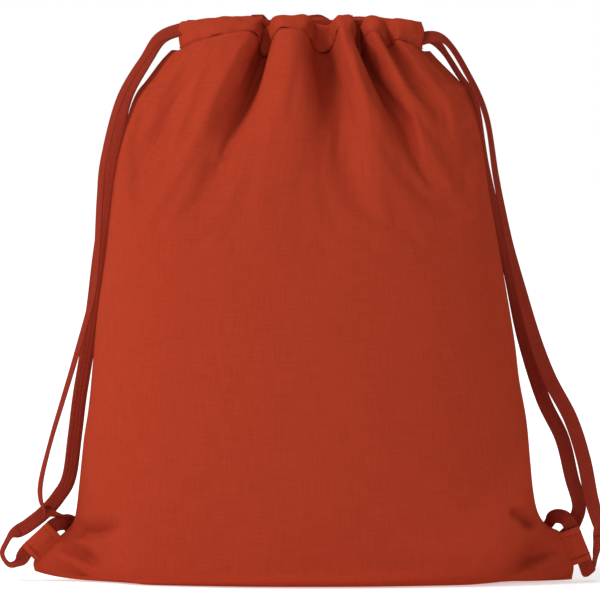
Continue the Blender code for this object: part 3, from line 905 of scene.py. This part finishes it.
def from_join(join):
    """The straight start of a cord stretch at a join: place and direction."""
    place, way = np.array(join[0]), np.array(join[1])
    way = way / np.linalg.norm(way)
    return [place, place + way * STRAIGHT]


def to_join(join):
    """The straight end of a cord stretch at a join."""
    place, way = np.array(join[0]), np.array(join[1])
    way = way / np.linalg.norm(way)
    return [place - way * STRAIGHT, place]


def through_casing(exits, hand):
    """A cord's way from its front exit through both casings to its back exit.
    hand is -1 for the cord that comes out on the left and 1 for the other."""
    front, back = exits
    lane = front[2]
    left, right = LEFT_SIDE[-1][0], RIGHT_SIDE[-1][0]
    half = (right - left) / 2
    # The upper lane dips at its far turn, to stay under the casing's end
    sink = 0.0028 if lane == LEFT_EXITS[0][2] else 0.0

    def run(side):
        points = []
        for share in np.linspace(0.80, -0.83, 14):
            x = MOUTH_CENTRE + hand * share * half
            far = float(smoothstep(-0.50, -0.83, share))
            depth = float(casing_cord_depth(x)) - 0.0015 * far
            points.append((x, -side * depth, lane - sink * far))
        return points

    turn = [(MOUTH_CENTRE - hand * half * 0.90, 0.0, lane - sink)]
    return [front] + run(1) + turn + run(-1)[::-1] + [back]


def tab_run(join, loop, axis, after):
    """A cord's way from its join round the loop, up the tab's sleeve and to the knot."""
    middle, run, _ = axis
    sleeve = [middle + run * TAB_LENGTH * share for share in (-0.55, -0.2, 0.2, 0.62)]
    return from_join(join) + loop + sleeve + after


def mirrored(points):
    """The same route on the other side of the bag."""
    return [(-x, y, z) for x, y, z in points]


def tape_profile(width, thickness, ribs):
    """Half the flat cord's outline across one face, with its lengthwise ribs."""
    across = np.linspace(-1, 1, 4 * ribs + 1)
    rise = (1 - 0.75 * np.abs(across) ** 6) * (0.86 + 0.14 * np.cos(math.pi * ribs * across))
    face = np.column_stack([across * width / 2, rise * thickness / 2])
    return np.vstack([face, (face * [1, -1])[::-1]])


def tape(name, route, facing, settings, material):
    """A flat cord along a smooth route. facing gives the way its face looks at shares
    of its length."""
    line = smooth_path(route, CORD_SPACING)
    count = len(line)
    ahead = np.gradient(line, axis=0)
    ahead /= np.linalg.norm(ahead, axis=1)[:, None]
    share = np.linspace(0, 1, count)
    stops = np.array([stop for stop, _ in facing])
    ways = np.array([way for _, way in facing], float)
    face = np.column_stack([np.interp(share, stops, ways[:, k]) for k in range(3)])
    face -= ahead * np.sum(face * ahead, axis=1)[:, None]
    face /= np.linalg.norm(face, axis=1)[:, None]
    across = np.cross(ahead, face)
    outline = tape_profile(settings.width, settings.thickness, settings.ribs)
    ring = len(outline)
    points = np.empty((count, ring, 3))
    for k, (a, b) in enumerate(outline):
        points[:, k] = line + across * a + face * b
    mesh = bpy.data.meshes.new(name)
    faces = []
    for i in range(count - 1):
        for k in range(ring):
            m = (k + 1) % ring
            faces.append((i * ring + k, i * ring + m, (i + 1) * ring + m, (i + 1) * ring + k))
    faces.append(tuple(range(ring))[::-1])
    faces.append(tuple((count - 1) * ring + k for k in range(ring)))
    mesh.from_pydata(points.reshape(-1, 3).tolist(), [], faces)
    layer = mesh.uv_layers.new(name="flat_cut")
    run, girth = run_of(line), run_of(outline)
    for polygon in mesh.polygons:
        wraps = any(v % ring == 0 for v in polygon.vertices) and any(
            v % ring == ring - 1 for v in polygon.vertices)
        for corner, vertex in zip(polygon.loop_indices, polygon.vertices):
            k = vertex % ring
            v = girth[k] if not (wraps and k == 0 and len(polygon.vertices) == 4) \
                else girth[-1] + settings.thickness * 0.2
            layer.data[corner].uv = (v, run[vertex // ring])
    face_outwards(mesh, merge=False)
    mesh.materials.append(material)
    mesh.shade_smooth()
    return add_object(name, mesh), line


def overhand(name, centre, settings, material):
    """The overhand knot that ties a cord's two ends together."""
    # A trefoil, the closed form of an overhand knot, flattened a little
    turns = np.linspace(0, 2 * math.pi, 73)[:-1]
    x = np.sin(turns) + 2 * np.sin(2 * turns)
    y = np.cos(turns) - 2 * np.cos(2 * turns)
    z = -np.sin(3 * turns) * 1.15
    widest = 3.9
    scale = settings.knot_radius / widest
    line = np.column_stack([x, z * 1.1, y]) * scale + np.array(centre)
    line = np.vstack([line, line[:1]])
    ahead = np.gradient(line, axis=0)
    ahead[0] = ahead[-1] = line[1] - line[-2]
    ahead /= np.linalg.norm(ahead, axis=1)[:, None]
    face = line - np.array(centre)
    face -= ahead * np.sum(face * ahead, axis=1)[:, None]
    face /= np.linalg.norm(face, axis=1)[:, None]
    across = np.cross(ahead, face)
    outline = tape_profile(settings.width * 0.62, settings.thickness * 1.35, settings.ribs)
    ring = len(outline)
    grid = np.array([line + across * a + face * b for a, b in outline])
    grid = np.vstack([grid, grid[:1]])
    run = np.linspace(0, length_of(line), len(line))
    girth = np.linspace(0, 0.02, ring + 1)
    uv = np.dstack([girth[:, None] + np.zeros((1, len(line))),
                    run[None] + np.zeros((ring + 1, 1))])
    obj = grid_object(name, grid, uv, material, True)
    face_outwards(obj.data)
    return obj


UP = (0, 0, 1)

# Each free strand: name, CAD node and body, route, and the way its flat face looks
STRANDS = [
    ("left_front_cord", "left_front_strand", LEFT_EXITS[0], LEFT_FRONT, LEFT_FRONT_JOIN,
     [(0, (-0.3, -0.9, 0.5)), (0.1, (-0.75, -0.45, 0.5)), (0.3, (-0.88, -0.45, 0)),
      (0.5, (-0.90, -0.40, 0)), (0.80, (-0.97, -0.24, 0)), (0.90, (-0.8, -0.35, 0.5)),
      (1, (0.1, -0.5, 0.8))]),
    ("left_back_cord", "left_back_strand", LEFT_EXITS[1], LEFT_BACK, LEFT_BACK_JOIN,
     [(0, (-0.3, -0.9, 0.5)), (0.1, (-0.7, -0.5, 0.5)), (0.3, (-0.6, -0.8, 0)),
      (0.6, (-0.2, -1, 0)), (0.85, (0, -1, 0)), (1, (-0.2, -0.9, 0.3))]),
    ("right_front_cord", "right_front_strand", RIGHT_EXITS[0], RIGHT_FRONT, RIGHT_FRONT_JOIN,
     [(0, (0.2, -0.9, 0.5)), (0.08, (0.6, -0.4, 0.7)), (0.25, (0.92, -0.35, 0.2)),
      (0.45, (0.85, -0.5, 0)), (0.7, (0.2, -1, 0)), (0.9, (0.1, -1, 0)), (1, (0.5, -0.85, 0))]),
    ("right_back_cord", "right_back_strand", RIGHT_EXITS[1], RIGHT_BACK, RIGHT_BACK_JOIN,
     [(0, (0.2, -0.9, 0.5)), (0.08, (0.6, -0.4, 0.7)), (0.25, (0.90, -0.4, 0.2)),
      (0.45, (0.7, -0.7, 0)), (0.7, (-0.1, -1, 0)), (1, (0.3, -0.9, 0.3))]),
]


def build_cords(settings, material):
    left_tab = tab_axis(LEFT_SIDE, LEFT_TAB_ROWS, -1)
    right_tab = tab_axis(RIGHT_SIDE, RIGHT_TAB_ROWS, 1)
    ends = {}
    for name, replaced, points, facing in (
        ("left_cord_end", "left_front_end", from_join(LEFT_FRONT_JOIN) + LEFT_FRONT_END,
         [(0, (0.1, -0.5, 0.8)), (1, (0, -0.4, 0.9))]),
        ("right_cord_end", "right_back_end", from_join(RIGHT_BACK_JOIN) + RIGHT_BACK_END,
         [(0, (0.3, -0.9, 0.3)), (1, (0, -0.4, 0.9))]),
    ):
        ends[replaced], _ = tape(name, points, facing, settings, material)
        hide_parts(replaced)
        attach(ends[replaced], "bag")
    for name, body, exit_point, route, join, facing in STRANDS:
        points = [exit_point] + route + to_join(join)
        obj, line = tape(name, points, facing, settings, material)
        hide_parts(body)
        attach(obj, body)

    left_run = tab_run(LEFT_BACK_JOIN, LEFT_LOOP, left_tab, LEFT_TAB_EXIT)
    right_run = tab_run(RIGHT_FRONT_JOIN, RIGHT_LOOP, right_tab, RIGHT_TAB_EXIT)
    tails = [
        (f"{side}_{end}_cord_tail", f"{side}_{end}_tail", flip(route), [(0, UP), (1, UP)], "bare")
        for side, flip in (("left", mirrored), ("right", list))
        for end, route in (("front", FRONT_TAIL), ("back", BACK_TAIL))
    ]
    held = [
        ("left_tab_run", "left_tab_cord", left_run,
         [(0, (-0.2, -0.9, 0.3)), (0.07, (-0.75, -0.35, 0.5)), (0.14, (-0.95, -0.28, 0)),
          (0.21, (-0.65, -0.30, -0.7)), (0.28, (0, -0.45, -0.9)), (0.36, (0, -1, -0.2)),
          (0.6, (0, -1, 0)), (0.75, (0, -0.9, 0.4)), (1, (-0.3, -0.2, 0.9))], "object"),
        ("right_tab_run", "right_tab_cord", right_run,
         [(0, (0.5, -0.85, 0)), (0.14, (0.9, -0.35, -0.2)), (0.22, (0.3, -0.4, -0.9)),
          (0.33, (0, -1, -0.2)), (0.6, (0, -1, 0)),
          (0.75, (0, -0.8, 0.6)), (1, (0.3, -0.2, 0.9))], "object"),
        *tails,
        ("left_cord_in_casing", "left_casing_cord", through_casing(LEFT_EXITS, -1),
         casing_facing(through_casing(LEFT_EXITS, -1)), "object"),
        ("right_cord_in_casing", "right_casing_cord", through_casing(RIGHT_EXITS, 1),
         casing_facing(through_casing(RIGHT_EXITS, 1)), "object"),
    ]
    for name, replaced, points, facing, far_end in held:
        obj, line = tape(name, points, facing, settings, material)
        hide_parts(replaced)
        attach(obj, "bag")
    for name, replaced, centre in (("left_overhand_knot", "left_knot", LEFT_KNOT),
                                   ("right_overhand_knot", "right_knot", RIGHT_KNOT)):
        obj = overhand(name, centre, settings, material)
        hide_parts(replaced)
        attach(obj, "bag")


def casing_facing(points):
    """Inside the casings the tape stands on edge, its face looking out of the bag."""
    line = smooth_path(points, 0.004)
    middle = np.array([MOUTH_CENTRE, 0, line[0][2]])
    out = line - middle
    ahead = np.gradient(line, axis=0)
    side = np.cross(ahead, [0, 0, 1.0])
    side /= np.linalg.norm(side, axis=1)[:, None]
    if np.sum(side * out) < 0:
        side = -side
    shares = np.linspace(0, 1, len(line))
    return list(zip(shares.tolist(), side.tolist()))


# ---------------------------------------------------------------- stitches


def stitch_tree():
    """Stitches along a curve: one small rounded stitch at every pitch."""
    tree = bpy.data.node_groups.new("stitches", "GeometryNodeTree")
    group_sockets(
        tree,
        [("Geometry", "NodeSocketGeometry", None), ("Pitch", "NodeSocketFloat", 0.003),
         ("Length", "NodeSocketFloat", 0.0023), ("Thread", "NodeSocketFloat", 0.0004),
         ("Material", "NodeSocketMaterial", None)],
        [("Geometry", "NodeSocketGeometry")],
    )
    start = node(tree, "NodeGroupInput")
    end = node(tree, "NodeGroupOutput")
    curve = node(tree, "GeometryNodeMeshToCurve")
    spread = node(tree, "GeometryNodeResampleCurve")
    spread.mode = "LENGTH"
    stitch = node(tree, "GeometryNodeMeshUVSphere")
    stitch.inputs["Segments"].default_value = 8
    stitch.inputs["Rings"].default_value = 6
    stitch.inputs["Radius"].default_value = 0.5
    size = node(tree, "ShaderNodeCombineXYZ")
    shape = node(tree, "GeometryNodeTransform")
    tangent = node(tree, "GeometryNodeInputTangent")
    turn = node(tree, "FunctionNodeAlignRotationToVector", axis="X")
    place = node(tree, "GeometryNodeInstanceOnPoints")
    whole = node(tree, "GeometryNodeRealizeInstances")
    finish = node(tree, "GeometryNodeSetMaterial")
    links = tree.links
    links.new(start.outputs["Geometry"], curve.inputs[0])
    links.new(curve.outputs[0], spread.inputs["Curve"])
    links.new(start.outputs["Pitch"], spread.inputs["Length"])
    links.new(start.outputs["Length"], size.inputs[0])
    links.new(start.outputs["Thread"], size.inputs[1])
    links.new(start.outputs["Thread"], size.inputs[2])
    links.new(stitch.outputs["Mesh"], shape.inputs["Geometry"])
    links.new(size.outputs[0], shape.inputs["Scale"])
    links.new(tangent.outputs[0], turn.inputs["Vector"])
    links.new(spread.outputs[0], place.inputs["Points"])
    links.new(shape.outputs[0], place.inputs["Instance"])
    links.new(turn.outputs[0], place.inputs["Rotation"])
    links.new(place.outputs[0], whole.inputs[0])
    links.new(whole.outputs[0], finish.inputs["Geometry"])
    links.new(start.outputs["Material"], finish.inputs["Material"])
    links.new(finish.outputs[0], end.inputs[0])
    return tree


def sew(name, lines, settings, tree, material):
    """Rows of stitches along lines of points, as one plain mesh."""
    mesh = bpy.data.meshes.new(name)
    points, edges = [], []
    for line in lines:
        first = len(points)
        points += [tuple(p) for p in line]
        edges += [(first + i, first + i + 1) for i in range(len(line) - 1)]
    mesh.from_pydata(points, edges, [])
    obj = add_object(name, mesh)
    maker = obj.modifiers.new("stitches", "NODES")
    maker.node_group = tree
    values = {"Pitch": settings.pitch, "Length": settings.length, "Thread": settings.thread,
              "Material": material}
    for item in tree.interface.items_tree:
        if item.in_out == "INPUT" and item.name in values:
            maker[item.identifier] = values[item.name]
    finish_mesh(obj)
    obj.data.shade_smooth()
    return obj


def thread_material(settings):
    """Twisted polyester thread."""
    material = bpy.data.materials.new("sewing_thread")
    material.use_nodes = True
    tree = material.node_tree
    shader = tree.nodes["Principled BSDF"]
    coordinates = node(tree, "ShaderNodeTexCoord")
    wave = node(tree, "ShaderNodeTexWave")
    wave.inputs["Scale"].default_value = 900.0
    tree.links.new(coordinates.outputs["Object"], wave.inputs["Vector"])
    tint = node(tree, "ShaderNodeMix", data_type="RGBA")
    tint.inputs[6].default_value = (*[0.75 * c for c in settings.colour], 1)
    tint.inputs[7].default_value = (*[1.2 * c for c in settings.colour], 1)
    tree.links.new(wave.outputs["Fac"], tint.inputs[0])
    tree.links.new(tint.outputs[2], shader.inputs["Base Color"])
    shader.inputs["Roughness"].default_value = 0.8
    shader.inputs["Specular IOR Level"].default_value = 0.05
    return material


# ---------------------------------------------------------------- operators


class BACKPACK_OT_stage(bpy.types.Operator):
    """Adds the pale floor, the soft lights and the camera"""
    bl_idname = "backpack.stage"
    bl_label = "Stage"

    def execute(self, context):
        build_stage(context)
        return {"FINISHED"}


class BACKPACK_OT_cords(bpy.types.Operator):
    """Builds the two flat cords, their knots and their tails"""
    bl_idname = "backpack.cords"
    bl_label = "Cords"

    def execute(self, context):
        settings = context.scene.backpack_cords
        material = cloth_material("knitted_cord", settings.colour, 0.0011,
                                  bpy.data.node_groups["plain_weave"], 0.16, 0.00015, 0.08)
        build_cords(settings, material)
        return {"FINISHED"}


class BACKPACK_OT_bag(bpy.types.Operator):
    """Settles the two panels and folds their casings and seam allowances"""
    bl_idname = "backpack.bag"
    bl_label = "Bag"

    def execute(self, context):
        settings = context.scene.backpack_cloth
        weave = bpy.data.node_groups["plain_weave"]
        (front, back), material = build_panels(settings, weave)
        casings = build_casings(settings, material)
        seams = build_seams(settings, weave)
        for obj, node_name in zip([front, back] + casings + seams,
                                  ["front_panel", "back_panel", "front_casing", "back_casing",
                                   "left_side_seam", "right_side_seam", "bottom_seam"]):
            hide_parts(node_name)
            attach(obj, "bag")
        return {"FINISHED"}


class BACKPACK_OT_tabs(bpy.types.Operator):
    """Folds the two corner tabs"""
    bl_idname = "backpack.tabs"
    bl_label = "Corner Tabs"

    def execute(self, context):
        material = bpy.data.materials["woven_cloth"]
        for name, replaced, axis in (
            ("left_tab_cloth", "left_tab", tab_axis(LEFT_SIDE, LEFT_TAB_ROWS, -1)),
            ("right_tab_cloth", "right_tab", tab_axis(RIGHT_SIDE, RIGHT_TAB_ROWS, 1)),
        ):
            obj = build_tab(name, axis, material)
            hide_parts(replaced)
            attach(obj, "bag")
        return {"FINISHED"}


class BACKPACK_OT_stitches(bpy.types.Operator):
    """Sews the hem and tab stitches"""
    bl_idname = "backpack.stitches"
    bl_label = "Stitches"

    def execute(self, context):
        settings = context.scene.backpack_stitches
        tree = stitch_tree()
        material = thread_material(settings)
        for side, name in (("front", "front_hem_stitches"), ("back", "back_hem_stitches")):
            hem = GRIDS[side][-1, CASING_TRIM:-CASING_TRIM].copy()
            ahead = np.gradient(hem[:, :2], axis=0)
            ahead /= np.linalg.norm(ahead, axis=1)[:, None]
            facing = 1 if side == "front" else -1
            hem[:, :2] += np.column_stack([ahead[:, 1], -ahead[:, 0]]) * facing * 0.0006
            hem[:, 2] += 0.0010
            obj = sew(name, [hem], settings, tree, material)
            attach(obj, "bag")
        for name, axis in (("left_tab_stitches", tab_axis(LEFT_SIDE, LEFT_TAB_ROWS, -1)),
                           ("right_tab_stitches", tab_axis(RIGHT_SIDE, RIGHT_TAB_ROWS, 1))):
            obj = sew(name, tab_stitch_lines(axis), settings, tree, material)
            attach(obj, "bag")
        return {"FINISHED"}


def tab_stitch_lines(axis):
    """The two hems of a tab, each seen from the front and from the back."""
    return [[tab_point(axis, share, face * math.acos(across), 0.0003)
             for across in np.linspace(-0.80, 0.90, 15)]
            for face in (1, -1) for share in (-TAB_HEM, TAB_HEM)]


class BACKPACK_PT_panel(bpy.types.Panel):
    """Lists the backpack's parts and their sizes"""
    bl_idname = "BACKPACK_PT_panel"
    bl_label = "Drawstring Backpack"
    bl_space_type = "VIEW_3D"
    bl_region_type = "UI"
    bl_category = "Backpack"

    def draw(self, context):
        layout = self.layout
        for group in (context.scene.backpack_cloth, context.scene.backpack_cords,
                      context.scene.backpack_stitches):
            for name in group.__annotations__:
                layout.prop(group, name)
        for operator in OPERATORS:
            layout.operator(operator.bl_idname)


# ---------------------------------------------------------------- stage

VIEW_CENTRE = Vector((-0.0056, 0.0, 0.1757))
VIEW_DISTANCE = 4.0
VIEW_ELEVATION = math.radians(1.5)
VIEW_WIDTH = 0.374
FLOOR_RADIUS = 30.0


def build_stage(context):
    """Camera, floor, world and lights of a pale studio."""
    scene = context.scene
    camera_data = bpy.data.cameras.new("camera")
    camera = bpy.data.objects.new("camera", camera_data)
    scene.collection.objects.link(camera)
    camera_data.sensor_width = 36.0
    camera_data.lens = 36.0 * VIEW_DISTANCE / VIEW_WIDTH
    camera.location = VIEW_CENTRE + VIEW_DISTANCE * Vector(
        (0, -math.cos(VIEW_ELEVATION), math.sin(VIEW_ELEVATION)))
    camera.rotation_euler = (math.pi / 2 - VIEW_ELEVATION, 0, 0)
    scene.camera = camera

    # The floor glows more with distance, so that it fades into the white backdrop
    mesh = bpy.data.meshes.new("floor")
    points = [(FLOOR_RADIUS * math.cos(math.radians(6 * i)),
               FLOOR_RADIUS * math.sin(math.radians(6 * i)), 0) for i in range(60)]
    mesh.from_pydata(points, [], [tuple(range(60))])
    mesh.shade_smooth()
    floor = bpy.data.objects.new("floor", mesh)
    scene.collection.objects.link(floor)
    paper = bpy.data.materials.new("paper")
    paper.use_nodes = True
    shader = paper.node_tree.nodes["Principled BSDF"]
    shader.inputs["Base Color"].default_value = (0.93, 0.93, 0.93, 1)
    shader.inputs["Roughness"].default_value = 0.9
    shader.inputs["Emission Color"].default_value = (1, 1, 1, 1)
    tree = paper.node_tree
    place = node(tree, "ShaderNodeTexCoord")
    distance = node(tree, "ShaderNodeVectorMath", operation="LENGTH")
    fade = node(tree, "ShaderNodeMapRange")
    fade.inputs["From Min"].default_value = 0.5
    fade.inputs["From Max"].default_value = 4.0
    fade.inputs["To Min"].default_value = 0.45
    fade.inputs["To Max"].default_value = 0.85
    tree.links.new(place.outputs["Object"], distance.inputs[0])
    tree.links.new(distance.outputs["Value"], fade.inputs["Value"])
    tree.links.new(fade.outputs["Result"], shader.inputs["Emission Strength"])
    mesh.materials.append(paper)

    world = bpy.data.worlds.new("studio")
    scene.world = world
    world.use_nodes = True
    # White where the camera sees it, a softer light on everything else
    tree = world.node_tree
    glow = tree.nodes["Background"]
    glow.inputs["Strength"].default_value = 0.33
    glow.inputs["Color"].default_value = (1, 1, 1, 1)
    backdrop = node(tree, "ShaderNodeBackground")
    backdrop.inputs["Color"].default_value = (1, 1, 1, 1)
    backdrop.inputs["Strength"].default_value = 1.0
    path = node(tree, "ShaderNodeLightPath")
    either = node(tree, "ShaderNodeMixShader")
    tree.links.new(path.outputs["Is Camera Ray"], either.inputs[0])
    tree.links.new(glow.outputs[0], either.inputs[1])
    tree.links.new(backdrop.outputs[0], either.inputs[2])
    tree.links.new(either.outputs[0], tree.nodes["World Output"].inputs["Surface"])
    for name, place, size, power in (
        ("key", (-1.9, -1.0, 2.6), 0.8, 70),
        ("fill", (1.8, -2.0, 1.0), 2.0, 1.5),
        ("back", (0.3, 1.1, 2.2), 2.0, 12),
    ):
        data = bpy.data.lights.new(name, "AREA")
        data.size = size
        data.energy = power
        light = bpy.data.objects.new(name, data)
        scene.collection.objects.link(light)
        light.location = place
        aim = Vector((0, 0, 0.17)) - Vector(place)
        light.rotation_euler = aim.to_track_quat("-Z", "Y").to_euler()
    scene.view_settings.view_transform = "Standard"


OPERATORS = (BACKPACK_OT_stage, BACKPACK_OT_bag, BACKPACK_OT_tabs, BACKPACK_OT_cords,
             BACKPACK_OT_stitches)
SETTINGS = (("backpack_cloth", ClothSettings), ("backpack_cords", CordSettings),
            ("backpack_stitches", StitchSettings))


def register():
    for name, group in SETTINGS:
        bpy.utils.register_class(group)
        setattr(bpy.types.Scene, name, bpy.props.PointerProperty(type=group))
    for operator in OPERATORS:
        bpy.utils.register_class(operator)
    bpy.utils.register_class(BACKPACK_PT_panel)


def unregister():
    bpy.utils.unregister_class(BACKPACK_PT_panel)
    for operator in reversed(OPERATORS):
        bpy.utils.unregister_class(operator)
    for name, group in reversed(SETTINGS):
        delattr(bpy.types.Scene, name)
        bpy.utils.unregister_class(group)


def main():
    register()
    plain_weave_group()
    bpy.ops.backpack.stage()
    bpy.ops.backpack.cords()
    bpy.ops.backpack.bag()
    bpy.ops.backpack.tabs()
    bpy.ops.backpack.stitches()


if __name__ == "__main__":
    main()
